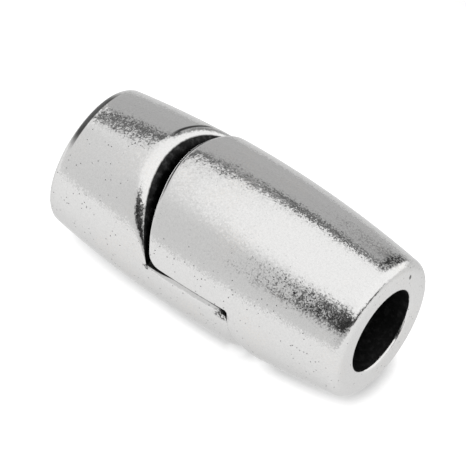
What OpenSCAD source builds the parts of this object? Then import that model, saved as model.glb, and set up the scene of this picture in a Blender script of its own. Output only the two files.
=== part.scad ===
// Barrel clasp for a round cord, whose two halves meet in a stepped lap and are held by a
// disc magnet in each flat. X runs along the clasp, the long half is at +X, and the clasp
// lies on the plane Z = 0 with its middle over the origin.

/* [Barrel] */
// Length of the closed clasp
clasp_len = 20; // [18.5:0.5:30]
// Largest diameter of the long half
long_d = 10; // [9:0.1:14]
// Largest diameter of the short half
short_d = 9.85; // [9:0.05:14]
// Radius of the curve that bows the barrel lengthwise
barrel_r = 64; // [40:1:300]
// Rounding of the outer rim at each cord end
rim_round = 0.6; // [0.2:0.05:1]
// Distance by which the two halves sit out of line sideways
side_step = 0.1; // [0:0.02:0.2]

/* [Cord holes] */
// Diameter of the cord hole in each end
bore_d = 5.1; // [3:0.1:6]
// Depth of each cord hole
bore_depth = 5.5; // [3:0.25:6]
// Rounding of each hole's mouth
mouth_round = 0.15; // [0.05:0.05:0.4]

/* [Nose of the long half] */
// Distance from the middle of the clasp to the foot of the nose's face
nose_foot = 2.35; // [1.8:0.05:3]
// Lean of the nose's face at its foot, in degrees
nose_lean = 14.5; // [0:0.5:16]
// Radius of the nose's hollow face
nose_face_r = 18; // [9:0.5:40]
// Rounding of the nose's lower corner
nose_round = 0.9; // [0.2:0.05:1]

/* [Face of the short half] */
// Gap between the two faces at their feet
foot_gap = 0.19; // [0.08:0.01:0.5]
// Lean of the short half's face at its foot, in degrees
face_lean = 21; // [14:1:28]
// Radius of the short half's full face
face_r = 17; // [12:0.5:40]
// Rounding of the short half's crown edge
crown_round = 1.2; // [0.4:0.1:1.6]

/* [Tongue of the short half] */
// Height of the tongue's flat above the axis of the clasp
lap_h = 1.05; // [0.6:0.05:1.5]
// Clearance between the tongue's flat and the nose's flat
lap_gap = 0.06; // [0.04:0.01:0.3]
// Distance from the middle of the clasp to the tongue's tip
tip_reach = 3.05; // [2.4:0.05:3.4]
// Clearance between the tongue's tip and the long half's shoulder
tip_gap = 0.06; // [0.05:0.01:0.4]
// Lean of the tongue's tip, in degrees
tip_lean = 8; // [0:1:10]
// Rounding of the tip's upper corner
tip_round = 0.8; // [0.6:0.05:1]
// Rounding in the shoulder's inner corner
shoulder_round = 0.5; // [0.1:0.05:0.6]
// Rounding of the two long edges of the tongue's flat
edge_round = 0.4; // [0.1:0.05:0.6]

/* [Magnets] */
// Diameter of each disc magnet
magnet_d = 3.5; // [2:0.1:3.8]
// Height of each disc magnet
magnet_h = 2; // [1:0.25:2.5]
// Glue line round and under each magnet
glue_gap = 0.05; // [0.02:0.01:0.1]

/* [Hidden] */
$fn = 96;

// Width of the slab that each side profile is made into, which also puts the profile's open
// ends well above and below the barrel
slab = long_d + short_d;
// Points on the full circle of the barrel's bow, and on that of each face
bow_points = 480;
face_points = 240;
// Height of the barrel's axis above the surface that the tongue's belly rests on
axis_h = short_d / 2;
// Height of the nose's flat above the axis
nose_h = lap_h + lap_gap;
// Place of both magnets: the middle of the stretch where both flats are whole
magnet_x = (tip_reach - tip_round - nose_foot + nose_round) / 2;
// How far a corner cut runs past its tangent points
past = 1.3;
// Length of the cut along each edge of the tongue, which runs on past the tip
edge_run = nose_foot + foot_gap + past * past * tip_reach;

// Centre of the circle of radius r that touches the line at height z from below, and the
// line through [x, z] that leans outward by lean as it goes down
function under_corner(x, z, lean, r) = [x + r * tan(lean) - r / cos(lean), z - r];

// Upper right crossing of two circles
function crossing(a, ra, b, rb) =
    let (d = norm(b - a), e = (b - a) / d, t = (ra * ra - rb * rb + d * d) / (2 * d))
    a + t * e + sqrt(ra * ra - t * t) * [-e[1], e[0]];

function unit(v) = v / norm(v);

// Centres in the side view, where the barrel's axis is at height 0
nose_c = [-nose_foot - nose_face_r * cos(nose_lean), nose_h - nose_face_r * sin(nose_lean)];
face_c = [-nose_foot - foot_gap - face_r * cos(face_lean), lap_h - face_r * sin(face_lean)];
short_bow_c = [0, short_d / 2 - barrel_r];
crown_c = crossing(face_c, face_r - crown_round, short_bow_c, barrel_r - crown_round);
tip_c = under_corner(tip_reach, lap_h, tip_lean, tip_round);
shoulder_x = tip_reach + tip_gap - lap_gap * tan(tip_lean);
shoulder_c = under_corner(shoulder_x, nose_h, tip_lean, shoulder_round);
toe_z = nose_h + nose_round;
toe_c = [nose_c[0] + sqrt(pow(nose_face_r + nose_round, 2) - pow(toe_z - nose_c[1], 2)), toe_z];

// What a rounding of radius r about c takes from a corner, or fills in a hollow one. It
// touches the corner's two sides in the directions u and v. The circle starts on the side
// away from the corner, so that its first point isn't on the rounding.
module corner_piece(c, r, u, v)
    difference() {
        polygon([c, c + past * r * u, c + past * past * r * (u + v) / (1 + u * v), c + past * r * v]);
        translate(c) rotate(atan2(-u[1] - v[1], -u[0] - v[0])) circle(r);
    }

// Turns a side profile into a slab across the whole clasp
module across()
    rotate([90, 0, 0])
        linear_extrude(slab, center = true)
            children();

// Half outline of a solid barrel, with its axis on Y
module barrel_outline(d) {
    bow_c = [d / 2 - barrel_r, 0];
    rim_y = clasp_len / 2 - rim_round;
    rim_c = [bow_c[0] + sqrt(pow(barrel_r - rim_round, 2) - rim_y * rim_y), rim_y];
    difference() {
        intersection() {
            translate(bow_c) circle(barrel_r, $fn = bow_points);
            translate([0, -clasp_len / 2]) square([d, clasp_len]);
        }
        for (side = [0, 1])
            mirror([0, side])
                corner_piece(rim_c, rim_round, [0, 1], unit(rim_c - bow_c));
    }
}

// Barrel about the clasp's own axis, with its middle at the origin
module barrel(d)
    rotate([0, 90, 0])
        rotate_extrude()
            barrel_outline(d);

// Cord hole of the +X end, with its rounded mouth
module cord_hole()
    translate([clasp_len / 2, 0, 0])
        rotate([0, 90, 0])
            rotate_extrude() {
                translate([0, -bore_depth]) square([bore_d / 2, bore_depth]);
                corner_piece([bore_d / 2 + mouth_round, -mouth_round], mouth_round, [0, 1], [-1, 0]);
            }

// Disc magnet whose face is flush with the flat at height z, above the flat or below it
module disc(z, above)
    translate([magnet_x, 0, above ? z : z - magnet_h])
        cylinder(h = magnet_h, d = magnet_d);

// Pocket for that magnet, open at the flat
module pocket(z, above)
    translate([magnet_x, 0, (above ? z : z - magnet_h) - glue_gap])
        cylinder(h = magnet_h + 2 * glue_gap, d = magnet_d + 2 * glue_gap);

// Side view of the short half: a full face above the lap and the tongue below it
module short_profile()
    difference() {
        union() {
            translate(face_c) circle(face_r, $fn = face_points);
            polygon([
                [-clasp_len, -slab],
                [tip_reach + (lap_h + slab) * tan(tip_lean), -slab],
                [tip_reach, lap_h],
                [-clasp_len, lap_h]
            ]);
        }
        corner_piece(crown_c, crown_round, unit(crown_c - short_bow_c), unit(crown_c - face_c));
        corner_piece(tip_c, tip_round, [0, 1], [cos(tip_lean), sin(tip_lean)]);
    }

// Side view of the room that the long half leaves for the tongue
module tongue_room()
    difference() {
        polygon([
            [-clasp_len, nose_h],
            [shoulder_x, nose_h],
            [shoulder_x + (nose_h + slab) * tan(tip_lean), -slab],
            [-clasp_len, -slab]
        ]);
        corner_piece(shoulder_c, shoulder_round, [0, 1], [cos(tip_lean), sin(tip_lean)]);
    }

// Side view of the long half: the nose above the lap and the shoulder below it
module long_profile()
    difference() {
        translate([nose_c[0], -slab]) square([clasp_len - nose_c[0], 2 * slab]);
        translate(nose_c) circle(nose_face_r, $fn = face_points);
        tongue_room();
        corner_piece(toe_c, nose_round, [0, -1], unit(nose_c - toe_c));
    }

// What the roundings take from the tongue's two long edges
module tongue_edges() {
    y = sqrt(pow(short_d / 2 - edge_round, 2) - pow(lap_h - edge_round, 2));
    edge_c = [y, lap_h - edge_round];
    for (side = [0, 1])
        mirror([0, side, 0])
            translate([-nose_foot - foot_gap, 0, 0])
                rotate([90, 0, 90])
                    linear_extrude(edge_run)
                        corner_piece(edge_c, edge_round, [0, 1], unit(edge_c));
}

module short_half()
    color([0.8, 0.8, 0.8])
        translate([0, -side_step / 2, axis_h])
            difference() {
                intersection() {
                    barrel(short_d);
                    across() short_profile();
                }
                mirror([1, 0, 0]) cord_hole();
                tongue_edges();
                pocket(lap_h, false);
            }

module long_half()
    color([0.84, 0.84, 0.84])
        translate([0, side_step / 2, axis_h])
            difference() {
                intersection() {
                    barrel(long_d);
                    across() long_profile();
                }
                cord_hole();
                pocket(nose_h, true);
            }

module tongue_magnet()
    color([0.6, 0.6, 0.62])
        translate([0, -side_step / 2, axis_h])
            disc(lap_h, false);

module nose_magnet()
    color([0.6, 0.6, 0.62])
        translate([0, side_step / 2, axis_h])
            disc(nose_h, true);

short_half();
long_half();
tongue_magnet();
nose_magnet();
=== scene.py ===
from math import asin, atan2, cos, degrees, hypot, pi, radians, sin, sqrt, tan
from types import SimpleNamespace

import bmesh
import bpy
from bpy.props import FloatProperty, FloatVectorProperty, IntProperty, PointerProperty
from mathutils import Matrix, Vector


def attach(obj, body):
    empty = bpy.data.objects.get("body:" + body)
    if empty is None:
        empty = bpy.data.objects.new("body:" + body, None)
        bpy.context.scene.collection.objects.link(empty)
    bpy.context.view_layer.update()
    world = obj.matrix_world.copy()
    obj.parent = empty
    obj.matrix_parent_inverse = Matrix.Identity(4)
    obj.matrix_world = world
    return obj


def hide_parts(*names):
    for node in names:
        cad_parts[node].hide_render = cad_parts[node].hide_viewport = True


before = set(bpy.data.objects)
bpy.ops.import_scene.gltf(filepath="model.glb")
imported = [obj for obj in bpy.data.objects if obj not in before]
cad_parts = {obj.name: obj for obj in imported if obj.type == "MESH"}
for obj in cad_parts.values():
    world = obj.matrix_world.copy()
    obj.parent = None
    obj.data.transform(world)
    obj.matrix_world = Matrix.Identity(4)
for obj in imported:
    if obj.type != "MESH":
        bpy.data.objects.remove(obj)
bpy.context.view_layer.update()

bl_info = {
    "name": "Stepped barrel clasp",
    "version": (1, 0, 0),
    "blender": (4, 5, 0),
    "location": "3D View > Sidebar > Clasp",
    "description": "Models a stepped barrel clasp with a magnet in each half, and its photo stage",
    "category": "Add Mesh",
}

UP = Vector((0, 0, 1))
AXLE = Vector((1, 0, 0))
MM = 0.001
# Corners that are nearer to each other than this, in millimetres, are one
WELD = 0.0001

# Depth in a cord hole, in millimetres, at which its wall is fully painted dark, as painted shade deep in
# the hole
PLATED_DEPTH = 0.35
# How far the plating reaches over the nose's rounding and over the worn seam's before the faces' painted
# shade, where 1 is evenly
WELL_PLATED = 3
SEAM_PLATED = 40
# What is left of a rounding's fullness where it has almost no depth
SHALLOW_FULLNESS = 0.3

# Spans over which an edge's wear goes from least to most: x in millimetres, or a turn
DIP_SPAN = (-0.5, -1.6)
TONGUE_TIP_SPAN = (1.6, 2.2)
TONGUE_FOOT_LENGTH = 2.2
CROWN_SPAN = (radians(12), radians(46))
NOSE_SPAN = (radians(30), radians(65))
SEAM_SPAN = (radians(1), radians(-25))

# Steps above the axis at which the wall's share of each end ring meets the lap's
SHORT_START = 7
LONG_START = 11
# Where the flat ring of an end, a hole and its floor are cut up: shares of the ring's width, depths
# in millimetres, and shares of the floor's radius
RING_CUTS = (0.08, 0.5, 0.92)
HOLE_CUTS = (0.05, 0.15, 0.3, 0.6, 1.6, 3.4)
HOLE_CORNER = 0.1
FLOOR_CUTS = (1, 0.96, 0.5, 0)
# Shares of a pocket's depth and radius at which its wall and its floor are cut up near the corner
POCKET_CUTS = (0.97, 0.95)
POCKET_STEPS = 72
MAGNET_STEPS = 96
MAGNET_EDGE_STEPS = 5

# Oval spots on the clasp, each as its middle and its size in millimetres
MARKS = (((10, 2.49, 7.31), (0.2, 0.13, 0.24)), ((6.23, -2.95, 8.55), (0.1, 0.09, 0.09)))
GRAINY_DARK_SPOTS = (
    ((9.25, 1.9, 8.8), (0.5, 1.7, 1.1)),
    ((2.7, -4.87, 5.62), (0.62, 0.5, 0.38)),
    ((-2.46, -4.88, 5.72), (0.3, 0.3, 0.2)),
)
# Ovals of the dark line along the crown's foot and of the dark line round the short half's end
CROWN_DARK_LINE = ((-4.8, 2.3, 9.0), (0.9, 2.5, 1.7))
END_DARK_LINE = ((-9.6, -0.4, 8.9), (0.8, 2.8, 1.5))
NOSE_DARK = ((-3.7, -0.3, 9.6), (1.4, 3.4, 1.8))
# Where the pale line along the nose's rim, a painted highlight, is painted
NOSE_HIGHLIGHT = ((-3.7, -1.2, 9.2), (1.4, 4.6, 3.0))
NOSE_SWELL = ((-1.9, 0.2, 9.8), (2.4, 2.2, 2))
# The paper that the camera sees past the worn seam
DENT = ((2.3, -2.8, 0), (0.8, 0.8, 1))
# Share of an oval spot's size up to which it is full
OVAL_CORE = 0.45
# Places in millimetres: the dark line round the short half's end, the start of the holes, and the
# # slanting plane x + FACE_SLOPE z between the two faces
END_LINE_X = -9.66
HOLE_SPAN = (4.65, 4.8)
FACE_SLOPE = 0.52
FACE_PLANE = (0.9, 1.0)
# How far the paper's shade reaches, as a share of its reach in the middle, by x in millimetres
REACH_SHARES = ((-10, 1.35), (-3, 1), (3, 1), (9, 1.12))

# Edges in the light tent, by bearing and rise in degrees
OPENING_LOW = ((-24, 34), (0, 29), (35, 27), (60, 16), (80, 4), (100, -10))
OPENING_HIGH = ((-14, 53), (-7, 64), (20, 57), (50, 47), (60, 33), (100, 10), (125, 4))
ROOF_EDGE = ((-105, 47), (-80, 56), (0, 56), (60, 33), (112, -10), (150, -10))
RAIL_MIDDLE = (
    (-30, 25), (10, 36), (22, 36.5), (30, 39.5), (36, 39), (44, 40.5), (52, 42), (58, 43.5), (66, 46.5))
# The opening's left edge, by rise and bearing
OPENING_LEFT = ((28, -15.5), (31, -15.5), (35, -11.5), (46, -11.5), (50, -19.5), (54, -12))

# Half the side of the square floor, in metres, and the width of the camera's sensor in millimetres
FLOOR_HALF = 2
SENSOR = 36


def length(name, description, millimetres):
    """A size that the sidebar shows as a length"""
    return FloatProperty(
        name=name, description=description, default=millimetres * MM, min=0, unit="LENGTH", precision=5)


def angle(name, description, in_degrees):
    """An angle that the sidebar shows in degrees"""
    return FloatProperty(name=name, description=description, default=radians(in_degrees), subtype="ANGLE")


def share(name, description, default):
    """A plain number"""
    return FloatProperty(name=name, description=description, default=default)


def tint(name, description, default):
    """A colour, as scene light"""
    return FloatVectorProperty(
        name=name, description=description, default=default, subtype="COLOR", min=0, max=1)


def grey(name, description, light):
    """A grey, as scene light"""
    return tint(name, description, (light, light, light))


def count(name, description, default):
    """A number of steps"""
    return IntProperty(name=name, description=description, default=default, min=1)


class ClaspSizes(bpy.types.PropertyGroup):
    """Sizes of the two halves. They are those of the part's drawing, but for a closer tip and a
    sharper shoulder"""

    clasp_len: length("Length", "Length of the closed clasp", 20)
    long_d: length("Long half", "Largest diameter of the long half", 10)
    short_d: length("Short half", "Largest diameter of the short half", 9.85)
    barrel_r: length("Bow", "Radius of the curve that bows the barrel lengthwise", 64)
    rim_round: length("End rounding", "Rounding of the outer rim at each cord end", 0.6)
    side_step: length("Side step", "Distance by which the halves sit out of line sideways", 0.1)
    bore_d: length("Cord hole", "Diameter of the cord holes", 5.1)
    bore_depth: length("Hole depth", "Depth of each cord hole", 5.5)
    mouth_round: length("Mouth rounding", "Rounding of each cord hole's mouth", 0.15)
    nose_foot: length("Nose foot", "Distance from the middle to the foot of the nose's face", 2.35)
    nose_lean: angle("Nose lean", "Lean of the nose's face at its foot", 14.5)
    nose_face_r: length("Nose face", "Radius of the nose's hollow face", 18)
    nose_round: length("Toe rounding", "Rounding of the nose's lower corner", 0.9)
    foot_gap: length("Foot gap", "Gap between the two faces at their feet", 0.19)
    face_lean: angle("Face lean", "Lean of the short half's face at its foot", 21)
    face_r: length("Face", "Radius of the short half's full face", 17)
    lap_h: length("Lap", "Height of the tongue's flat above the axis", 1.05)
    lap_gap: length("Lap gap", "Clearance between the tongue's flat and the nose's flat", 0.06)
    tip_reach: length("Tongue", "Distance from the middle to the tongue's tip", 3.05)
    tip_gap: length("Tip gap", "Clearance between the tongue's tip and the shoulder", 0.001)
    tip_lean: angle("Tip lean", "Lean of the tongue's tip", 8)
    tip_round: length("Tip rounding", "Rounding of the tip's upper corner", 0.8)
    shoulder_round: length("Shoulder rounding", "Rounding in the shoulder's inner corner", 0.15)
    magnet_d: length("Magnet", "Diameter of each disc magnet", 3.5)
    magnet_h: length("Magnet height", "Height of each disc magnet", 2)
    glue_gap: length("Glue line", "Glue line round and under each magnet", 0.05)


class EdgeSizes(bpy.types.PropertyGroup):
    """How far each edge is worn round, measured from the sharp edge"""

    crown: length("Crown", "Rounding of the short half's crown edge", 0.82)
    crown_foot: length("Crown foot", "What is left of the crown's rounding at the lap", 0.1)
    dip: length("Foot dip", "How far the tongue's flat dips at its foot", 0.14)
    tongue: length("Tongue edge", "Rounding of the tongue's long edges, at its middle", 0.52)
    tongue_foot: length("Tongue edge foot", "What is left of that rounding at the foot", 0.12)
    tongue_tip: length("Tongue edge tip", "That rounding at the tip's upper corner", 0.38)
    tip: length("Tip edge", "Rounding of the tip's rim", 0.035)
    nose: length("Nose edge", "Rounding of the nose's rim", 0.42)
    nose_heel: length("Nose heel edge", "What is left of that rounding at the nose's lower corner", 0.12)
    nose_flat: length("Nose flat edge", "Rounding along the nose's flat", 0.05)
    shoulder: length("Shoulder edge", "Rounding of the shoulder's rim", 0.002)
    seam: length("Seam", "How far the seam under the tongue's tip is worn along the barrel", 0.95)
    seam_depth: length("Seam depth", "How deep that seam is worn", 0.46)
    pocket: length("Pocket edge", "Chamfer round each magnet pocket", 0.06)
    magnet: length("Magnet edge", "Rounding of the magnets' edges", 0.12)


class MeshSteps(bpy.types.PropertyGroup):
    """How finely the meshes are cut up"""

    turn: count("Steps round", "Steps round the barrel, a multiple of 4", 288)
    along: count("Steps along", "Steps along each half", 14)
    flat: count("Steps on the lap", "Steps along the lap", 20)
    corner: count("Corner steps", "Steps in a corner of the side view, even", 10)
    edge: count("Edge steps", "Steps across an edge's rounding, even", 8)
    across: count("Steps across", "Steps across the mating faces", 10)


def in_mm(group):
    """The group's values, with its lengths in millimetres, in which the meshes are worked out"""
    values = {}
    for prop in group.bl_rna.properties:
        if prop.identifier in group.__annotations__:
            value = getattr(group, prop.identifier)
            values[prop.identifier] = value / MM if prop.unit == "LENGTH" else value
    return SimpleNamespace(**values)


def mix(a, b, t):
    """The point or number that lies the share t of the way from a to b"""
    return a + (b - a) * t


def ease(t):
    """A share that starts and ends softly"""
    t = min(max(t, 0), 1)
    return t * t * (3 - 2 * t)


def through(span, value):
    """How far a value has come on its way through a span, from 0 to 1"""
    start, end = span
    return ease((value - start) / (end - start))


class Arc:
    """A round stretch of the side view, about c. side is 1 where the metal is inside it"""

    def __init__(self, c, r, side=1):
        self.c, self.r, self.side = c, r, side

    def at(self, turn):
        """Point and outward normal at an angle"""
        ray = Vector((cos(turn), sin(turn)))
        return self.c + self.r * ray, self.side * ray

    def at_height(self, z):
        """Point and outward normal on the right side of the arc, at a height"""
        return self.at(asin((z - self.c.y) / self.r))

    def snap(self, p):
        """The point of the clasp's face nearest to p"""
        flat = Vector((p.x, p.z)) - self.c
        flat = self.c + flat * (self.r / flat.length)
        return Vector((flat.x, p.y, flat.y))


class Slope:
    """A straight stretch of the side view through a point, which leans outward as it goes down"""

    def __init__(self, p, lean, side=1):
        self.p, self.lean, self.side = p, lean, side

    def at_height(self, z):
        """Point and outward normal at a height"""
        x = self.p.x + (self.p.y - z) * tan(self.lean)
        return Vector((x, z)), self.side * Vector((cos(self.lean), sin(self.lean)))

    def snap(self, p):
        return p


class FlatRun:
    """The straight stretch of a lap's flat"""

    def snap(self, p):
        return p


class Barrel:
    """The bowed outer surface of one half, about the clasp's axis"""

    def __init__(self, d, bow):
        self.r, self.bow = d / 2, bow

    def radius(self, x):
        return self.r - self.bow + sqrt(self.bow ** 2 - x * x)

    def point(self, x, turn):
        """Point at x, turned up from the near side"""
        r = self.radius(x)
        return Vector((x, -r * cos(turn), r * sin(turn)))

    def side_point(self, x, z):
        """Point of the near side at x and at a height"""
        return Vector((x, -sqrt(max(self.radius(x) ** 2 - z * z, 0)), z))

    def normal(self, p):
        r = hypot(p.y, p.z)
        return Vector((p.x / sqrt(self.bow ** 2 - p.x ** 2), p.y / r, p.z / r)).normalized()

    def where(self, p):
        """The place of a point: x, and its turn up from the near side"""
        return Vector((p.x, atan2(p.z, -p.y)))

    def turn_at(self, spot):
        """The turn of a point of the side view"""
        return self.where(self.side_point(*spot)).y

    def meet(self, stretch, turn):
        """Where a stretch of the side view meets the barrel at a turn"""
        x = 0
        for _ in range(30):
            spot, out = stretch.at_height(self.radius(x) * sin(turn))
            x = spot.x
        return spot, out


def depth_fullness(depth, width):
    """How much of a rounding's fullness is left where it is shallow"""
    return mix(SHALLOW_FULLNESS, 1, depth / width)


class Rim:
    """One place on a sharp edge between the barrel and a face, and the rounding that it gets, which
    is as deep as it is wide unless depth says otherwise. The larger plated is, the further the
    plating reaches over it before the face's painted shade starts"""

    def __init__(self, barrel, spot, out, width, stretch, plated=1, depth=None):
        self.plated = plated
        self.edge = barrel.side_point(spot.x, spot.y)
        if abs(self.edge.y) < WELD:
            self.edge.y = 0
        skin, face = barrel.normal(self.edge), Vector((out.x, 0, out.y))
        back = (skin * face.dot(skin) - face).normalized()
        inward = (face * skin.dot(face) - skin).normalized()
        self.place = barrel.where(self.edge + back * width)
        self.start = barrel.point(*self.place)
        self.end = stretch.snap(self.edge + inward * (width if depth is None else depth))
        self.fullness = sqrt(max((1 - back.dot(inward)) / 2, 0))
        if depth is not None:
            self.fullness *= depth_fullness(depth, width)

    def point(self, t):
        """Point of the rounding, from the barrel at 0 to the face at 1"""
        a, b, c = (1 - t) ** 2, 2 * self.fullness * t * (1 - t), t * t
        return (a * self.start + b * self.edge + c * self.end) / (a + b + c)


def both_sides(rims, place):
    """Calls place for a list of rims that runs from the near side to the top or bottom and back down
    the far side, where every point is mirrored"""
    last = len(rims) - 1

    def placed(i, j):
        if i <= last:
            return place(rims[i], i, j)
        p = place(rims[2 * last - i], 2 * last - i, j)
        return Vector((p.x, -p.y, p.z))

    return 2 * last, placed


def painted_shade_layer(bm):
    """The layer that says how far each corner is painted dark, as painted shade, from 0 to 1"""
    layers = bm.verts.layers.float
    return layers.get("painted_shade") or layers.new("painted_shade")


def lay_grid(bm, columns, rows, place, painted_shade=lambda i, j: 0):
    """A grid of faces whose corners place puts where they belong. Its last argument says how far
    each corner is painted dark, as painted shade, from 0 to 1"""
    layer = painted_shade_layer(bm)
    grid = bmesh.ops.create_grid(bm, x_segments=columns, y_segments=rows, size=1)
    for vert in grid["verts"]:
        i = round((vert.co.x + 1) / 2 * columns)
        j = round((vert.co.y + 1) / 2 * rows)
        vert.co = place(i, j)
        vert[layer] = painted_shade(i, j)


def lay_rounding(bm, rims, steps):
    """The rounding along a rim, on both sides of the clasp"""
    columns, place = both_sides(rims, lambda rim, i, j: rim.point(j / steps))
    lay_grid(bm, columns, steps, place, lambda i, j: (j / steps) ** rims[min(i, columns - i)].plated)


def lay_face(bm, rims, spread):
    """The mating face between the two sides of a rim. spread has the shares of the half width at
    which it is cut up across"""

    def place(i, j):
        end = rims[i].end
        return Vector((end.x, end.y * spread[j], end.z))

    # Every corner of a mating face is fully painted dark, as painted shade
    lay_grid(bm, len(rims) - 1, len(spread) - 1, place, lambda i, j: 1)


def lay_wall_skin(bm, barrel, rims, top, end, steps):
    """The barrel's skin between the rim of the wall and the ring where the end's rounding starts.
    end is that ring's x and the turn at which the wall's share of it starts"""
    last = len(rims) - 1

    def skin(rim, i, j):
        ring = Vector((end.x, mix(end.y, top, i / last)))
        p = barrel.point(*mix(rim.place, ring, j / steps))
        if i == last:
            p.y = 0
        return p

    columns, place = both_sides(rims, skin)
    lay_grid(bm, columns, steps, place)


def lay_lap_skin(bm, barrel, rims, corner, top, end, steps):
    """The barrel's skin on the lap, and on from there to the end ring. The rims run from the wall's
    corner along the lap to its outer corner, and on to the middle of its end"""
    rim = [r.place for r in rims[corner:]]
    side = [r.place for r in reversed(rims[:corner + 1])]
    rim += [Vector((p.x, 2 * top - p.y)) for p in reversed(rim[:-1])]
    far = [Vector((p.x, 2 * top - p.y)) for p in side]
    columns = len(rim) - 1
    run = [0]
    for a, b in zip(side, side[1:]):
        run.append(run[-1] + hypot(b.x - a.x, barrel.r * (b.y - a.y)))
    last = len(rims) - 1 - corner

    def round_at(x, turn, i):
        """The place in column i of a ring that starts at a turn"""
        return Vector((x, mix(turn, 2 * top - turn, i / columns)))

    def skin(spot, i):
        p = barrel.point(*spot)
        if i == last:
            p.y = 0
        return p

    def lap(i, j):
        u, v = i / columns, run[j] / run[-1]
        edges = mix(rim[i], round_at(*side[-1], i), v) + mix(side[j], far[j], u)
        corners = mix(mix(side[0], far[0], u), mix(side[-1], far[-1], u), v)
        return edges - corners

    def rear(i, j):
        return skin(mix(round_at(*side[-1], i), round_at(*end, i), j / steps), i)

    lay_grid(bm, columns, len(side) - 1, lambda i, j: skin(lap(i, j), i))
    lay_grid(bm, columns, steps, rear)


def spin_outline(bm, outline, axis, centre, steps, painted_shade):
    """Spins an outline once round, which closes its poles. Its last argument has how far each point
    is painted dark, as painted shade
    """
    layer = painted_shade_layer(bm)
    verts = [bm.verts.new(p) for p in outline]
    for vert, value in zip(verts, painted_shade):
        vert[layer] = value
    edges = [bm.edges.new(pair) for pair in zip(verts, verts[1:])]
    bmesh.ops.spin(
        bm, geom=verts + edges, cent=centre, axis=axis, angle=2 * pi, steps=steps, use_merge=True)


def round_outline(c, r, first, last, steps):
    """Points of a round stretch of an outline, as pairs"""
    turns = [mix(first, last, i / steps) for i in range(steps + 1)]
    return [(c[0] + r * cos(t), c[1] + r * sin(t)) for t in turns]


def end_outline(sizes, barrel, edge_steps):
    """Outline of a cord end as x and radius, from the rim's rounding over the ring into the hole"""
    half, r = sizes.clasp_len / 2, sizes.rim_round
    bow = Vector((0, barrel.r - sizes.barrel_r))
    rim_x = half - r
    rim = Vector((rim_x, bow.y + sqrt((sizes.barrel_r - r) ** 2 - rim_x ** 2)))
    start = atan2(rim.y - bow.y, rim.x)
    bore, mouth = sizes.bore_d / 2, sizes.mouth_round
    outline = round_outline(rim, r, start, 0, edge_steps)
    outline += [(half, mix(rim.y, bore + mouth, t)) for t in RING_CUTS]
    outline += round_outline((half - mouth, bore + mouth), mouth, 0, -pi / 2, edge_steps // 2)
    floor_x = half - sizes.bore_depth
    outline += [(half - mouth - depth, bore) for depth in HOLE_CUTS]
    outline += [(floor_x + HOLE_CORNER, bore)]
    outline += [(floor_x, bore * t) for t in FLOOR_CUTS]
    return outline


def lay_end(bm, sizes, steps, barrel, side, turn):
    """The cord end with its hole, spun about the axis from a turn. side is 1 at the +X end"""
    outline = end_outline(sizes, barrel, steps.edge)
    half, in_hole = sizes.clasp_len / 2, sizes.bore_d / 2 + WELD
    # The hole's wall is painted dark further in, as painted shade
    painted_shade = [ease((half - x) / PLATED_DEPTH) if r < in_hole else 0 for x, r in outline]
    points = [Vector((side * x, -r * cos(turn), r * sin(turn))) for x, r in outline]
    spin_outline(bm, points, AXLE, (0, 0, 0), steps.turn, painted_shade)
    return Vector((points[0].x, turn))


def lay_pocket(bm, sizes, edges, x, z, side):
    """The pocket of a magnet, open at the flat. side is 1 where it goes up"""
    r, chamfer = sizes.magnet_d / 2 + sizes.glue_gap, edges.pocket
    depth = sizes.magnet_h + sizes.glue_gap
    low, wide = POCKET_CUTS
    outline = [(r + chamfer, 0), (r, chamfer), (r, depth * low), (r, depth), (r * wide, depth), (0, depth)]
    points = [Vector((x + across, 0, z + side * down)) for across, down in outline]
    spin_outline(bm, points, UP, (x, 0, z), POCKET_STEPS, [1] * len(points))


def lay_outside(bm, sizes, steps, barrel, rims, side, start):
    """The outside of a half: its cord end, its skin and the roundings along its rims. side is 1
    where the cord end is at +X, and start is the step above the axis where the wall's share begins"""
    lap, corner, wall = rims
    end = lay_end(bm, sizes, steps, barrel, side, start * 2 * pi / steps.turn)
    lay_wall_skin(bm, barrel, wall, -side * pi / 2, end, steps.along)
    lay_lap_skin(bm, barrel, lap, corner, side * pi / 2, end, steps.along)
    lay_rounding(bm, wall, steps.edge)
    lay_rounding(bm, lap, steps.edge)


def finish_half(bm, name, place_y, axis_h, flat_normal):
    """Closes the lap's flat round the pocket, welds the pieces of skin and makes the object"""
    bmesh.ops.remove_doubles(bm, verts=bm.verts, dist=WELD)
    bmesh.ops.dissolve_degenerate(bm, edges=bm.edges, dist=WELD)
    open_edges = [e for e in bm.edges if e.is_boundary]
    bmesh.ops.triangle_fill(bm, use_beauty=True, use_dissolve=False, edges=open_edges, normal=flat_normal)
    bmesh.ops.recalc_face_normals(bm, faces=bm.faces)
    left = sum(not e.is_manifold for e in bm.edges)
    if left:
        raise RuntimeError(f"{name} is open or doubled along {left} edges")
    bmesh.ops.translate(bm, vec=(0, place_y, axis_h), verts=bm.verts)
    return make_object(bm, name)


def link_mesh(bm, name):
    """Puts a mesh in the scene as an object"""
    mesh = bpy.data.meshes.new(name)
    bm.to_mesh(mesh)
    bm.free()
    piece = bpy.data.objects.new(name, mesh)
    bpy.context.scene.collection.objects.link(piece)
    return piece


def make_object(bm, name, crease=35):
    """Turns a mesh in millimetres into a smooth object in metres, sharp past the crease angle"""
    bmesh.ops.scale(bm, vec=(MM, MM, MM), verts=bm.verts)
    for face in bm.faces:
        face.smooth = True
    for edge in bm.edges:
        edge.smooth = edge.calc_face_angle(0) < radians(crease)
    piece = link_mesh(bm, name)
    shading = piece.modifiers.new("Shading", "WEIGHTED_NORMAL")
    shading.keep_sharp = True
    return piece


def even(first, last, steps):
    """Evenly spaced numbers, both ends included"""
    return [mix(first, last, i / steps) for i in range(steps + 1)]


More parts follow.
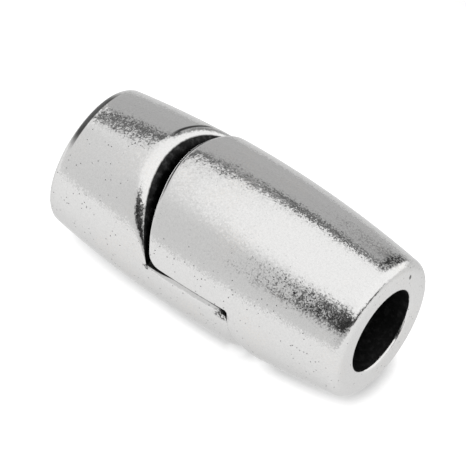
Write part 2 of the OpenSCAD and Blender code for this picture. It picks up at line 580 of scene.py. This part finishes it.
def side_view(sizes):
    """The round and straight stretches of the two halves' side views, with the axis at height 0"""
    s = sizes

    def upright(x, z, lean, r, side):
        """A face's arc of radius r through [x, z], where it leans back by an angle"""
        return Arc(Vector((x - r * cos(lean), z - r * sin(lean))), r, side)

    nose_h = s.lap_h + s.lap_gap
    foot_x = -s.nose_foot - s.foot_gap
    nose = upright(-s.nose_foot, nose_h, s.nose_lean, s.nose_face_r, -1)
    face = upright(foot_x, s.lap_h, s.face_lean, s.face_r, 1)

    def corner(x, z, r, side):
        """A rounding that touches the line at height z from below and the leaning line through [x, z]"""
        c = Vector((x + r * tan(s.tip_lean) - r / cos(s.tip_lean), z - r))
        return Arc(c, r, side)

    tip = corner(s.tip_reach, s.lap_h, s.tip_round, 1)
    shoulder_x = s.tip_reach + s.tip_gap - s.lap_gap * tan(s.tip_lean)
    shoulder = corner(shoulder_x, nose_h, s.shoulder_round, -1)
    toe_z = nose_h + s.nose_round
    toe_x = nose.c.x + sqrt((s.nose_face_r + s.nose_round) ** 2 - (toe_z - nose.c.y) ** 2)
    toe = Arc(Vector((toe_x, toe_z)), s.nose_round)
    return SimpleNamespace(
        nose_h=nose_h, foot_x=foot_x, nose=nose, face=face, tip=tip, shoulder=shoulder, toe=toe,
        tip_slope=Slope(Vector((s.tip_reach, s.lap_h)), s.tip_lean),
        shoulder_slope=Slope(Vector((shoulder_x, nose_h)), s.tip_lean, -1),
        magnet_x=(s.tip_reach - s.tip_round - s.nose_foot + s.nose_round) / 2,
    )


def seam_rim(barrel, slope, turn, edge, edges):
    """A place on the seam under the tongue's tip, where a sharp edge wears round further down"""
    worn = through(SEAM_SPAN, turn)
    width, depth = mix(edge, edges.seam, worn), mix(edge, edges.seam_depth, worn)
    return Rim(barrel, *barrel.meet(slope, turn), width, slope, SEAM_PLATED, depth)


def short_rims(sizes, edges, steps, view, barrel, columns):
    """Rims of the short half: along the tongue, and up its face. columns has how many steps the
    tongue's rim and the face's rim have on one side"""
    tip_turn = sizes.tip_lean
    lap = []
    for x in even(view.foot_x, view.tip.c.x, steps.flat):
        z = sizes.lap_h - edges.dip * through(DIP_SPAN, x)
        width = mix(edges.tongue_foot, edges.tongue, ease((x - view.foot_x) / TONGUE_FOOT_LENGTH))
        width = mix(width, edges.tongue_tip, through(TONGUE_TIP_SPAN, x))
        lap.append(Rim(barrel, Vector((x, z)), Vector((0, 1)), width, FlatRun()))
    for t in even(pi / 2, tip_turn, steps.corner)[1:]:
        width = mix(edges.tip, edges.tongue_tip, through((tip_turn, pi / 2), t))
        lap.append(Rim(barrel, *view.tip.at(t), width, view.tip))
    corner = steps.flat + steps.corner // 2
    first = barrel.turn_at(view.tip.at(tip_turn)[0])
    for turn in even(first, -pi / 2, columns[0] - steps.corner // 2)[1:]:
        lap.append(seam_rim(barrel, view.tip_slope, turn, edges.tip, edges))
    wall = []
    foot = Vector((view.foot_x, sizes.lap_h - edges.dip))
    cheek = Slope(foot, 0)
    for r in range(steps.edge):
        z = lap[0].point(r / steps.edge).z
        wall.append(Rim(barrel, *cheek.at_height(z), edges.crown_foot * r / steps.edge, cheek))
    for turn in even(barrel.turn_at(foot), pi / 2, columns[1] - steps.edge):
        width = mix(edges.crown_foot, edges.crown, through(CROWN_SPAN, turn))
        wall.append(Rim(barrel, *barrel.meet(view.face, turn), width, view.face))
    return lap, corner, wall


def make_short_half(sizes, edges, steps):
    """The half with the tongue, its cord hole at the -X end"""
    view = side_view(sizes)
    barrel = Barrel(sizes.short_d, sizes.barrel_r)
    columns = (steps.turn // 4 + SHORT_START, steps.turn // 4 - SHORT_START)
    lap, corner, wall = short_rims(sizes, edges, steps, view, barrel, columns)
    bm = bmesh.new()
    lay_outside(bm, sizes, steps, barrel, (lap, corner, wall), -1, SHORT_START)
    cheek = wall[:steps.edge + 1]
    for side in (1, -1):
        def place(i, j, side=side):
            p = cheek[i].end if j == 0 else lap[0].point(i / steps.edge)
            return Vector((p.x, side * p.y, p.z))
        lay_grid(bm, steps.edge, 1, place, lambda i, j: 1 if j == 0 else i / steps.edge)
    inner = lap[0].end.y / wall[steps.edge].end.y
    spread = [1] + even(inner, -inner, steps.across) + [-1]
    lay_face(bm, wall[steps.edge:], spread)
    lay_face(bm, lap[steps.flat:], even(1, -1, steps.across))
    lay_pocket(bm, sizes, edges, view.magnet_x, sizes.lap_h, -1)
    return finish_half(bm, "short_half_plated", -sizes.side_step / 2, sizes.short_d / 2, UP)


def long_rims(sizes, edges, steps, view, barrel, columns):
    """Rims of the long half: along the nose's flat to its crown, and down the shoulder"""
    lap = []
    start = view.shoulder.c.x
    for x in even(start, view.toe.c.x, steps.flat):
        lap.append(Rim(barrel, Vector((x, view.nose_h)), Vector((0, -1)), edges.nose_flat, FlatRun()))
    heel_turn = atan2(view.nose.c.y - view.toe.c.y, view.nose.c.x - view.toe.c.x)
    for t in even(-pi / 2, heel_turn, steps.corner)[1:]:
        width = mix(edges.nose_flat, edges.nose_heel, (t + pi / 2) / (heel_turn + pi / 2))
        lap.append(Rim(barrel, *view.toe.at(t), width, view.toe, WELL_PLATED))
    corner = steps.flat + steps.corner // 2
    first = barrel.turn_at(view.toe.at(heel_turn)[0])
    for turn in even(first, pi / 2, columns[0] - steps.corner // 2)[1:]:
        width = mix(edges.nose_heel, edges.nose, through(NOSE_SPAN, turn))
        lap.append(Rim(barrel, *barrel.meet(view.nose, turn), width, view.nose, WELL_PLATED))
    wall = [lap[0]]
    for t in even(pi / 2, sizes.tip_lean, steps.corner)[1:]:
        wall.append(Rim(barrel, *view.shoulder.at(t), edges.shoulder, view.shoulder))
    first = barrel.turn_at(view.shoulder.at(sizes.tip_lean)[0])
    for turn in even(first, -pi / 2, columns[1] - steps.corner)[1:]:
        wall.append(seam_rim(barrel, view.shoulder_slope, turn, edges.shoulder, edges))
    return lap, corner, wall


def make_long_half(sizes, edges, steps):
    """The half with the nose, its cord hole at the +X end"""
    view = side_view(sizes)
    barrel = Barrel(sizes.long_d, sizes.barrel_r)
    columns = (steps.turn // 4 - LONG_START, steps.turn // 4 + LONG_START)
    lap, corner, wall = long_rims(sizes, edges, steps, view, barrel, columns)
    bm = bmesh.new()
    lay_outside(bm, sizes, steps, barrel, (lap, corner, wall), 1, LONG_START)
    spread = even(1, -1, steps.across)
    lay_face(bm, lap[steps.flat:], spread)
    lay_face(bm, wall, spread)
    lay_pocket(bm, sizes, edges, view.magnet_x, view.nose_h, 1)
    return finish_half(bm, "long_half_plated", sizes.side_step / 2, sizes.short_d / 2, -UP)


class Finishes(bpy.types.PropertyGroup):
    """Colours and textures of the metal"""

    silver: tint("Silver plate", "Colour of the polished plating", (0.6, 0.597, 0.592))
    silver_warm: tint("Warm plate", "Colour of the faintly yellow plating", (0.615, 0.597, 0.575))
    silver_dull: tint("Dull plate", "Colour of the dull grains of the plating", (0.47, 0.469, 0.467))
    edge_on: grey("Edge-on plate", "Colour of the plating where it is seen nearly edge on", 0.78)
    silver_rough: share("Plate roughness", "Roughness of the polished plating", 0.13)
    rough_swing: share("Roughness swing", "How far that roughness wanders", 0.05)
    grain_size: share("Grain", "Cast grains to a millimetre", 12.5)
    grain_tilt: share("Grain tilt", "How far the grains lean apart", 0.085)
    lump_size: share("Lumps", "Coarser grains to a millimetre", 5)
    lump_depth: length("Lump depth", "Depth of the coarser grain", 0.005)
    swell_depth: length("Swell depth", "Depth of the soft unevenness of the castings", 0.01)
    pit_depth: length("Pit depth", "Depth of the small casting pits", 0.03)
    pit: grey("Pits", "Colour of the small casting pits", 0.1)
    pit_rough: share("Pit roughness", "How much rougher the pits are", 0.2)
    # Colour of the dark lines, the dark grainy spots and the marks, and of the thin dark line along the
    # nose's rim
    dark_marks: grey("Dirt", "Colour of the dirt in the corners", 0.03)
    # The pale line along the nose's rim is a painted highlight, less metallic and rougher than the plate
    nose_light: grey("Nose light", "Colour of the pale line along the nose's rim", 0.97)
    light_rough: share("Nose light roughness", "How much rougher that line is", 0.5)
    # The mating faces and the cord holes are painted dark: painted shade for the narrow gap between the
    # halves and the depth of the holes. Pale flecks vary that painted dark
    dark: grey("Blackened faces", "Colour of the blackened mating faces", 0.012)
    dark_hole: grey("Blackened holes", "Colour of the blackened cord holes", 0.038)
    pale_fleck: grey("Stains", "Colour of the pale stains on the blackened metal", 0.15)
    dark_rough: share("Blackened roughness", "How much rougher the blackened metal is", 0.3)
    nickel: tint("Magnet plate", "Colour of the magnets' nickel plate", (0.56, 0.545, 0.52))
    nickel_rough: share("Magnet roughness", "Roughness of the magnets' plate", 0.24)
    nickel_depth: length("Magnet marks", "Depth of the grain in the magnets' plate", 0.003)


class Stage(bpy.types.PropertyGroup):
    """The camera and the light tent"""

    azimuth: angle("Azimuth", "The camera's angle round the clasp, from its near side", 38.045)
    elevation: angle("Elevation", "The camera's angle above the floor", 53.203)
    distance: length("Distance", "The camera's distance from the clasp's middle", 395.06)
    lens: share("Lens", "Focal length of the camera", 556.9)
    frame_px: share("Frame", "Width of the photograph in pixels", 466)
    middle_x: share("Middle across", "Pixel column of the middle of the clasp's axis", 236.58)
    middle_y: share("Middle down", "Pixel row of the middle of the clasp's axis", 241.45)
    floor: grey("Floor", "Colour of the floor", 0.42)
    floor_glow: share("Floor glow", "Light that the table sends up through the paper", 0.79)
    floor_end: length("Floor end", "Distance from the clasp at which the paper ends behind it", 24)
    far_shade: share("Far shade", "How much less of the paper far behind the clasp is reflected", 0.3)
    shade_reach: length("Shade reach", "How near the clasp has to be to shade the paper", 1.1)
    close_shade: share("Close shade", "How much darker the most shaded paper is", 0.14)
    dent_light: share("Dent light", "How much lighter the paper is next to the worn seam", 0.2)
    ceiling: share("Ceiling", "Light from the tent's ceiling, over the long half", 1.46)
    ceiling_left: share("Ceiling left", "Light from the ceiling's left end", 1.08)
    front_left: share("Front left", "Light from the left end of the tent's front wall", 1.08)
    front: share("Front", "Light from the front wall, next to its opening", 0.99)
    right: share("Right", "Light from the front wall, right of its opening", 0.85)
    back: share("Back", "Light from the tent's back wall", 0.69)
    lamps: share("Lamps", "Light from the two lit side panels", 1.5)
    foot: share("Foot", "How much the light swings at the tent's foot", 0.07)
    opening: share("Opening", "Light from the dark room behind the tent's opening", 0.02)
    opening_high: share("Opening above", "How much more comes from high up in it", 0.13)
    opening_right: share("Opening right", "How much more comes from its right end", 0.06)
    corner: share("Corner", "Light from the corner at the rail's right end", 0.3)
    rail: share("Rail", "Light from the dark rail along the back wall's upper edge", 0.1)
    rail_worn: share("Pale rail", "Light from the rail where it is paler", 0.4)


def sum_with(operation, swapped=False):
    """An operator of Value that adds a Math node, with the value second if swapped"""

    def operator(self, other):
        return self.combine(operation, *((other, self) if swapped else (self, other)))

    return operator


class Value:
    """A shader socket that takes part in Python sums, each of which adds its Math node"""

    def __init__(self, tree, socket):
        self.tree, self.socket = tree, socket

    def combine(self, operation, *values):
        node = self.tree.nodes.new("ShaderNodeMath")
        node.operation = operation
        for port, value in zip(node.inputs, values):
            plug(self.tree, port, value)
        return Value(self.tree, node.outputs[0])

    def __abs__(self):
        return self.combine("ABSOLUTE", self)

    __add__, __radd__ = sum_with("ADD"), sum_with("ADD", True)
    __sub__, __rsub__ = sum_with("SUBTRACT"), sum_with("SUBTRACT", True)
    __mul__, __rmul__ = sum_with("MULTIPLY"), sum_with("MULTIPLY", True)
    __truediv__ = sum_with("DIVIDE")
    __pow__ = sum_with("POWER")
    at_least = sum_with("MAXIMUM")


def plug(tree, port, value):
    """Links a value's socket to a port, or sets the port"""
    if isinstance(value, Value):
        tree.links.new(value.socket, port)
    else:
        port.default_value = value


class Shader:
    """The node tree of a material or of the world"""

    def __init__(self, owner):
        owner.use_nodes = True
        self.tree = owner.node_tree
        self.tree.nodes.clear()

    def add(self, kind, settings=None, sockets=None, out=0):
        """Adds a node: its settings first, then the values of its sockets"""
        node = self.tree.nodes.new(kind)
        for name, value in (settings or {}).items():
            setattr(node, name, value)
        for name, value in (sockets or {}).items():
            plug(self.tree, node.inputs[name], value)
        return Value(self.tree, node.outputs[out]) if node.outputs else None

    def step(self, value, low, high, first=0, last=1):
        """Goes softly from first to last as the value goes from low to high"""
        return self.add("ShaderNodeMapRange", {"interpolation_type": "SMOOTHSTEP"}, {
            "Value": value, "From Min": low, "From Max": high, "To Min": first, "To Max": last})

    def between(self, value, rise, fall):
        """1 between a soft rise and a soft fall, each given by the values where it starts and ends"""
        return self.step(value, *rise) * self.step(value, *fall, 1, 0)

    def band(self, value, middle, full, end):
        """1 where the value is within full of the middle, and 0 where it is further off than end"""
        return self.step(abs(value - middle), full, end, 1, 0)

    def trend(self, value, points):
        """Follows straight lines through the points, level before the first and after the last"""
        total = points[0][1]
        for (low, first), (high, last) in zip(points, points[1:]):
            total = total + self.add("ShaderNodeMapRange", {"clamp": True}, {
                "Value": value, "From Min": low, "From Max": high, "To Min": 0, "To Max": last - first})
        return total

    def bearing(self, side, ahead):
        """The angle from ahead towards the side, in degrees"""
        return side.combine("ARCTAN2", side, ahead) * degrees(1)

    def noise(self, where, scale, detail=2, roughness=0.5):
        """A noise with so many spots to a millimetre"""
        return self.add("ShaderNodeTexNoise", None, {
            "Vector": where, "Scale": scale, "Detail": detail, "Roughness": roughness})

    def bump(self, height, depth, normal=None):
        """A bump whose height of 1 stands for a depth in millimetres"""
        sockets = {"Height": height, "Distance": depth * MM, "Strength": 1}
        if normal:
            sockets["Normal"] = normal
        return self.add("ShaderNodeBump", None, sockets)

    def vector(self, operation, *values, out=0):
        """A sum of vectors"""
        return self.add("ShaderNodeVectorMath", {"operation": operation}, dict(enumerate(values)), out)

    def scaled(self, vector, scale):
        """A vector times a number"""
        return self.add("ShaderNodeVectorMath", {"operation": "SCALE"}, {"Vector": vector, "Scale": scale})

    def facets(self, spot, size, tilt, normal):
        """Tiny facets, so many to a millimetre, each of which leans its own way from the normal"""
        cell = self.add("ShaderNodeTexVoronoi", None, {"Vector": spot, "Scale": size}, out="Color")
        lean = self.scaled(self.vector("SUBTRACT", cell, (0.5, 0.5, 0.5)), tilt)
        return self.vector("NORMALIZE", self.vector("ADD", normal, lean))

    def oval(self, spot, middle, size):
        """1 in the middle of an oval spot, and 0 from its edge on"""
        away = self.vector("DIVIDE", self.vector("SUBTRACT", spot, middle), size)
        return self.step(self.vector("LENGTH", away, out="Value"), OVAL_CORE, 1, 1, 0)

    def ovals(self, spot, places):
        """1 in the middle of each of several oval spots"""
        first, *others = [self.oval(spot, *place) for place in places]
        for other in others:
            first = first.at_least(other)
        return first

    def blend(self, first, second, factor):
        """A colour between two colours, each a colour of three parts or another node's"""
        first, second = [c if isinstance(c, Value) else (*c, 1) for c in (first, second)]
        return self.add("ShaderNodeMix", {"data_type": "RGBA"}, {6: first, 7: second, 0: factor}, out=2)

    def place(self):
        """The place on the clasp in millimetres"""
        return self.scaled(self.add("ShaderNodeTexCoord", out="Object"), 1 / MM)

    def surface(self, sockets):
        """Ends a material with its surface"""
        shader = self.add("ShaderNodeBsdfPrincipled", None, sockets)
        self.add("ShaderNodeOutputMaterial", None, {"Surface": shader})

    def parts(self, vector):
        """The x, y and z of a vector"""
        node = self.add("ShaderNodeSeparateXYZ", None, {"Vector": vector}).socket.node
        return [Value(self.tree, port) for port in node.outputs]


def new_material(name):
    """An empty material, its shader and the place on the clasp in millimetres"""
    material = bpy.data.materials.new(name)
    sh = Shader(material)
    return material, sh, sh.place()


def cast_pits(sh, spot):
    """Small pits in patches, fewer on top of the clasp except at the short half's end"""
    x, _, z = sh.parts(spot)
    pores = sh.add("ShaderNodeTexVoronoi", None, {"Vector": spot, "Scale": 3.6})
    patches = sh.step(sh.noise(spot, 0.9, 3), 0.44, 0.53)
    not_on_top = sh.step(z, 8.0, 8.8, 1, 0.1).at_least(sh.step(x, -5.5, -4.5, 1, 0))
    return sh.step(pores, 0.08, 0.16, 1, 0) * patches * not_on_top


def nose_lines(sh, spot, painted_shade):
    """The thin dark line and the pale line beside it along the top of the nose's rim. The pale line is a
    painted highlight
    """
    x, _, z = sh.parts(spot)
    on_nose = sh.step(x + FACE_SLOPE * z, *FACE_PLANE)
    dark = on_nose * sh.oval(spot, *NOSE_DARK) * sh.between(painted_shade, (0.001, 0.004), (0.03, 0.05))
    pale = on_nose * sh.oval(spot, *NOSE_HIGHLIGHT) * sh.between(painted_shade, (0.05, 0.07), (0.5, 0.6))
    return dark, pale


def dark_mark_mask(sh, spot, painted_shade):
    """Dark lines along the crown's foot and round the short half's end, dark grainy spots at the long
    half's end, the tongue's tip and the nose's foot, and marks
    """
    specks = sh.step(sh.noise(spot, 6.5, 2, 0.6), 0.42, 0.6, 1, 0)
    crown = sh.band(painted_shade, 0.1, 0.03, 0.09) * sh.oval(spot, *CROWN_DARK_LINE)
    end = sh.band(sh.parts(spot)[0], END_LINE_X, 0.14, 0.2) * sh.oval(spot, *END_DARK_LINE)
    grainy_spots = sh.ovals(spot, GRAINY_DARK_SPOTS) * specks
    return crown.at_least(end).at_least(grainy_spots).at_least(sh.ovals(spot, MARKS))


def silver_plate(finishes):
    """Polished silver plate over a cast body: a fine grain, a soft swell, small pits, some dark marks and
    a faint yellow cast in places. The mating faces and the holes are painted dark, as painted shade for
    the gap between the halves and the depth of the holes, and a painted highlight runs along the nose's
    rim"""
    material, sh, spot = new_material("silver_plate")
    painted_shade = sh.add("ShaderNodeAttribute", {"attribute_name": "painted_shade"}, out="Fac")
    pits = cast_pits(sh, spot)
    dark_line, painted_highlight = nose_lines(sh, spot, painted_shade)
    # Dark lines, dark grainy spots and marks, with the thin dark line along the nose's rim
    dark_marks = dark_mark_mask(sh, spot, painted_shade).at_least(dark_line)

    yellow = sh.step(sh.noise(spot, 0.35, 3), 0.5, 0.68) * sh.step(sh.noise(spot, 11, 1), 0.5, 0.6)
    dull = sh.noise(spot, 9, 2, 0.7) ** 2
    colour = sh.blend(finishes.silver, finishes.silver_warm, yellow)
    colour = sh.blend(colour, finishes.silver_dull, dull)
    colour = sh.blend(colour, finishes.pit, 0.9 * pits)
    colour = sh.blend(colour, finishes.dark_marks, 0.95 * dark_marks)
    colour = sh.blend(colour, finishes.nose_light, painted_highlight)

    # Painted shade: the mating faces and the deeper parts of the holes turn dark
    black = sh.step(painted_shade + 0.05 * (sh.noise(spot, 6, 3) - 0.5), 0.5, 0.58)
    pale_flecks = sh.step(sh.noise(spot, 3, 4, 0.6), 0.45, 0.75)
    in_hole = sh.step(abs(sh.parts(spot)[0]), *HOLE_SPAN)
    dark = sh.blend(finishes.dark, finishes.dark_hole, in_hole)
    dark = sh.blend(dark, finishes.pale_fleck, 0.3 * pale_flecks)
    colour = sh.blend(colour, dark, black)

    rough = finishes.silver_rough + finishes.rough_swing * sh.noise(spot, 2.2, 3)
    rough = rough + finishes.pit_rough * pits + finishes.light_rough * painted_highlight
    rough = rough + black * (finishes.dark_rough + 0.1 * pale_flecks)

    swell = sh.noise(spot, 0.9, 2, 0.5) * (1 + 1.6 * sh.oval(spot, *NOSE_SWELL))
    lumps = sh.noise(spot, finishes.lump_size, 1, 0.6)
    normal = sh.bump(swell, finishes.swell_depth)
    normal = sh.bump(lumps, finishes.lump_depth, normal)
    normal = sh.bump(1 - pits, finishes.pit_depth, normal)
    normal = sh.facets(spot, finishes.grain_size, finishes.grain_tilt, normal)
    # The painted highlight along the nose's rim also makes the metal less metallic there
    sh.surface({
        "Base Color": colour, "Metallic": 1 - 0.7 * painted_highlight, "Roughness": rough, "Normal": normal,
        "Specular Tint": (*finishes.edge_on, 1)})
    return material


def magnet_plate(finishes):
    """Nickel plate of the magnets, with a fine grain and dull patches"""
    material, sh, spot = new_material("magnet_plate")
    dull = sh.noise(spot, 1.4, 3, 0.6)
    colour = sh.blend(finishes.nickel, [0.8 * c for c in finishes.nickel], dull)
    normal = sh.bump(sh.noise(spot, 14, 3, 0.6), finishes.nickel_depth)
    sh.surface({
        "Base Color": colour, "Metallic": 1.0, "Roughness": finishes.nickel_rough + 0.12 * dull,
        "Normal": normal})
    return material


def floor_paper(stage):
    """The pale paper of the floor, on a table that is lit from below. The camera sees it darker close
    under the clasp, and the clasp reflects it darker far behind"""
    material, sh, spot = new_material("floor_paper")
    x, y, _ = sh.parts(spot)
    reach = stage.shade_reach * sh.trend(x, REACH_SHARES)
    clear = sh.add("ShaderNodeAmbientOcclusion", {"samples": 8}, {"Distance": reach}, out="AO")
    close = stage.close_shade * sh.step(clear, 0.55, 0.72, 1, 0) - stage.dent_light * sh.oval(spot, *DENT)
    seen = sh.add("ShaderNodeLightPath", out="Is Camera Ray")
    far = stage.far_shade * sh.step(y, 5, 14)
    glow = 1 - seen * (1 - clear + close) - (1 - seen) * far
    sh.surface({
        "Base Color": (*stage.floor, 1), "Roughness": 0.9, "Emission Strength": stage.floor_glow,
        "Emission Color": sh.blend((0, 0, 0), (1, 1, 1), glow)})
    return material


def tent_walls(sh, stage, near, behind, rise):
    """Light from the front wall, the back wall and the lit panel on the left"""
    light = mix(stage.front_left, stage.front, sh.step(near, -60, -25))
    light = mix(light, stage.right, sh.step(near, -4, 6))
    back = sh.step(behind, -30, -20) * sh.step(behind - rise / 3, 35, 42, 1, 0)
    light = mix(light, stage.back, back)
    return mix(light, stage.lamps, sh.between(near, (-135, -127), (-102, -90)))


def tent_roof(sh, stage, light, near, rise, rail_rise, over):
    """The walls' light with the ceiling's above them. over is how far a direction leans to the right
    for its height"""
    ceiling = mix(stage.ceiling_left, stage.ceiling, sh.step(over, -0.75, -0.3))
    ceiling = mix(ceiling, stage.lamps, sh.step(near, 4, 30))
    in_front = sh.step(rise - sh.trend(near, ROOF_EDGE), -11, 11) * sh.step(near, -122, -112)
    over_rail = sh.step(rise - rail_rise, -2, 3)
    roof = mix(in_front, 1, over_rail * sh.step(near, -122, -112, 1, 0))
    roof = mix(roof, 1, over_rail * sh.step(near, 150, 160))
    return mix(light, ceiling, roof)


def tent_rail(sh, stage, light, behind, rise, rail_rise):
    """The light with the dark rail along the back wall's upper edge, and the corner at its end"""
    worn = mix(stage.rail, stage.rail_worn, sh.band(behind, 29, 2, 4.5))
    rail = sh.band(rise, rail_rise, 3.5, 7) * sh.between(behind, (3, 12), (66, 73))
    light = mix(light, worn, rail)
    corner = sh.band(behind, 8.5, 2.5, 5.5) * sh.band(rise, 6, 10, 24)
    return mix(light, stage.corner, corner)


def tent_opening(sh, stage, light, near, rise):
    """The light with the dark opening in the front wall"""
    low, high = sh.trend(near, OPENING_LOW), sh.trend(near, OPENING_HIGH)
    across = sh.step(near - sh.trend(rise, OPENING_LEFT), -2, 2.5) * sh.step(near, 112, 128, 1, 0)
    opening = sh.step(rise - low, -10, 3) * sh.step(high - rise, -2, 4) * across
    dark = stage.opening + stage.opening_high * sh.step(rise - low, 8, 30)
    dark = dark + sh.trend(near, ((50, 0), (100, stage.opening_right)))
    return mix(light, dark, opening)


def light_tent(stage):
    """The light that the white tent sends from each side, and a plain white backdrop. Its places are
    given by their bearing in degrees, from the near side towards the long half's end or from the far
    side towards the short half's, and by their rise above the floor"""
    world = bpy.data.worlds.new("light_tent")
    bpy.context.scene.world = world
    sh = Shader(world)
    x, y, z = sh.parts(sh.add("ShaderNodeTexCoord", out="Generated"))
    near = sh.bearing(x, -1 * y)
    behind = sh.bearing(-1 * x, y)
    rise = sh.bearing(z, (x * x + y * y) ** 0.5)
    rail_rise = sh.trend(behind, RAIL_MIDDLE)
    light = tent_walls(sh, stage, near, behind, rise)
    light = tent_roof(sh, stage, light, near, rise, rail_rise, x / z.at_least(0.1))
    light = tent_rail(sh, stage, light, behind, rise, rail_rise)
    light = tent_opening(sh, stage, light, near, rise)
    light = light * (1 + stage.foot * (sh.step(rise, 0, 16, 1, 0) - sh.band(rise, 7, 0, 3)))
    seen = sh.add("ShaderNodeLightPath", out="Is Camera Ray")
    backdrop = sh.add("ShaderNodeBackground", None, {
        "Color": (1, 1, 1, 1), "Strength": mix(light, 1, seen)})
    sh.add("ShaderNodeOutputWorld", None, {"Surface": backdrop})


def make_magnet(name, sizes, edges, z, place_y, side):
    """A disc magnet whose face lies flush in its pocket. side is 1 where its pocket goes up"""
    bm = bmesh.new()
    r = sizes.magnet_d / 2
    bmesh.ops.create_cone(
        bm, cap_ends=True, segments=MAGNET_STEPS, radius1=r, radius2=r, depth=sizes.magnet_h)
    rims = [e for e in bm.edges if abs(e.verts[0].co.z - e.verts[1].co.z) < WELD]
    bmesh.ops.bevel(bm, geom=rims, offset=edges.magnet, segments=MAGNET_EDGE_STEPS, profile=0.5,
                    affect="EDGES", material=-1)
    caps = [f for f in bm.faces if abs(f.normal.z) > 0.99]
    bmesh.ops.inset_region(bm, faces=caps, thickness=edges.magnet / 4, depth=0)
    middle_z = sizes.short_d / 2 + z + side * sizes.magnet_h / 2
    bmesh.ops.translate(bm, vec=(side_view(sizes).magnet_x, place_y, middle_z), verts=bm.verts)
    bmesh.ops.recalc_face_normals(bm, faces=bm.faces)
    return make_object(bm, name)


class ClaspSettings(bpy.types.PropertyGroup):
    """All settings of the clasp"""

    sizes: PointerProperty(type=ClaspSizes)
    edges: PointerProperty(type=EdgeSizes)
    steps: PointerProperty(type=MeshSteps)
    finishes: PointerProperty(type=Finishes)
    stage: PointerProperty(type=Stage)


class PieceOperator:
    """What the operators of the clasp's pieces share"""

    bl_options = {"REGISTER", "UNDO"}

    def settings(self, context):
        clasp = context.scene.clasp
        return [in_mm(group) for group in (clasp.sizes, clasp.edges, clasp.steps, clasp.finishes)]


def hand_over(piece, plate, body, node):
    """Puts a piece with its plate in a CAD node's place, on the node's body"""
    piece.data.materials.append(plate)
    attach(piece, body)
    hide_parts(node)


class CLASP_OT_short_half(PieceOperator, bpy.types.Operator):
    """Models the half with the tongue"""

    bl_idname = "clasp.short_half"
    bl_label = "Short half"

    def execute(self, context):
        sizes, edges, steps, finishes = self.settings(context)
        piece = make_short_half(sizes, edges, steps)
        hand_over(piece, silver_plate(finishes), "short_side", "short_half")
        return {"FINISHED"}


class CLASP_OT_long_half(PieceOperator, bpy.types.Operator):
    """Models the half with the nose"""

    bl_idname = "clasp.long_half"
    bl_label = "Long half"

    def execute(self, context):
        sizes, edges, steps, finishes = self.settings(context)
        piece = make_long_half(sizes, edges, steps)
        hand_over(piece, silver_plate(finishes), "long_side", "long_half")
        return {"FINISHED"}


class CLASP_OT_magnets(PieceOperator, bpy.types.Operator):
    """Models the two disc magnets"""

    bl_idname = "clasp.magnets"
    bl_label = "Magnets"

    def execute(self, context):
        sizes, edges, _, finishes = self.settings(context)
        plate = magnet_plate(finishes)
        out_of_line = sizes.side_step / 2
        nose_h = sizes.lap_h + sizes.lap_gap
        lower = make_magnet("tongue_magnet_disc", sizes, edges, sizes.lap_h, -out_of_line, -1)
        upper = make_magnet("nose_magnet_disc", sizes, edges, nose_h, out_of_line, 1)
        hand_over(lower, plate, "short_side", "tongue_magnet")
        hand_over(upper, plate, "long_side", "nose_magnet")
        return {"FINISHED"}


class CLASP_OT_stage(bpy.types.Operator):
    """Sets the floor, the light tent and the camera"""

    bl_idname = "clasp.stage"
    bl_label = "Stage"
    bl_options = {"REGISTER", "UNDO"}

    def execute(self, context):
        stage = context.scene.clasp.stage
        bm = bmesh.new()
        bmesh.ops.create_grid(bm, x_segments=4, y_segments=4, size=FLOOR_HALF)
        bmesh.ops.translate(bm, vec=(0, stage.floor_end - FLOOR_HALF, 0), verts=bm.verts)
        floor = link_mesh(bm, "floor")
        floor.data.materials.append(floor_paper(stage))
        light_tent(stage)
        self.place_camera(context, stage)
        context.scene.view_settings.view_transform = "Standard"
        return {"FINISHED"}

    def place_camera(self, context, stage):
        """Puts the middle of the clasp's axis at its pixel in the photograph"""
        a, e = stage.azimuth, stage.elevation
        back = Vector((sin(a) * cos(e), -cos(a) * cos(e), sin(e)))
        right = Vector((cos(a), sin(a), 0))
        up = back.cross(right)
        data = bpy.data.cameras.new("camera")
        data.lens = stage.lens
        data.sensor_width = SENSOR
        data.clip_start, data.clip_end = 0.01, 10
        pixel = stage.distance * data.sensor_width / data.lens / stage.frame_px
        middle = Vector((0, 0, context.scene.clasp.sizes.short_d / 2))
        across = (stage.frame_px / 2 - stage.middle_x) * pixel
        rise = (stage.middle_y - stage.frame_px / 2) * pixel
        camera = bpy.data.objects.new("camera", data)
        camera.location = middle + across * right + rise * up + stage.distance * back
        camera.rotation_euler = Matrix((right, up, back)).transposed().to_euler()
        context.scene.collection.objects.link(camera)
        context.scene.camera = camera


class CLASP_PT_sidebar(bpy.types.Panel):
    """Lists the clasp's pieces in the sidebar"""

    bl_label = "Barrel clasp"
    bl_idname = "CLASP_PT_sidebar"
    bl_space_type = "VIEW_3D"
    bl_region_type = "UI"
    bl_category = "Clasp"

    def draw(self, context):
        for operator in OPERATORS:
            self.layout.operator(operator.bl_idname)
        for group in ("sizes", "edges", "steps", "finishes", "stage"):
            settings = getattr(context.scene.clasp, group)
            box = self.layout.box()
            box.label(text=group.capitalize())
            for name in settings.__annotations__:
                box.prop(settings, name)


OPERATORS = (CLASP_OT_stage, CLASP_OT_short_half, CLASP_OT_long_half, CLASP_OT_magnets)
CLASSES = (ClaspSizes, EdgeSizes, MeshSteps, Finishes, Stage, ClaspSettings, *OPERATORS, CLASP_PT_sidebar)


def register():
    for cls in CLASSES:
        bpy.utils.register_class(cls)
    bpy.types.Scene.clasp = PointerProperty(type=ClaspSettings)


def unregister():
    del bpy.types.Scene.clasp
    for cls in reversed(CLASSES):
        bpy.utils.unregister_class(cls)


def main():
    register()
    bpy.ops.clasp.stage()
    bpy.ops.clasp.short_half()
    bpy.ops.clasp.long_half()
    bpy.ops.clasp.magnets()


if __name__ == "__main__":
    main()
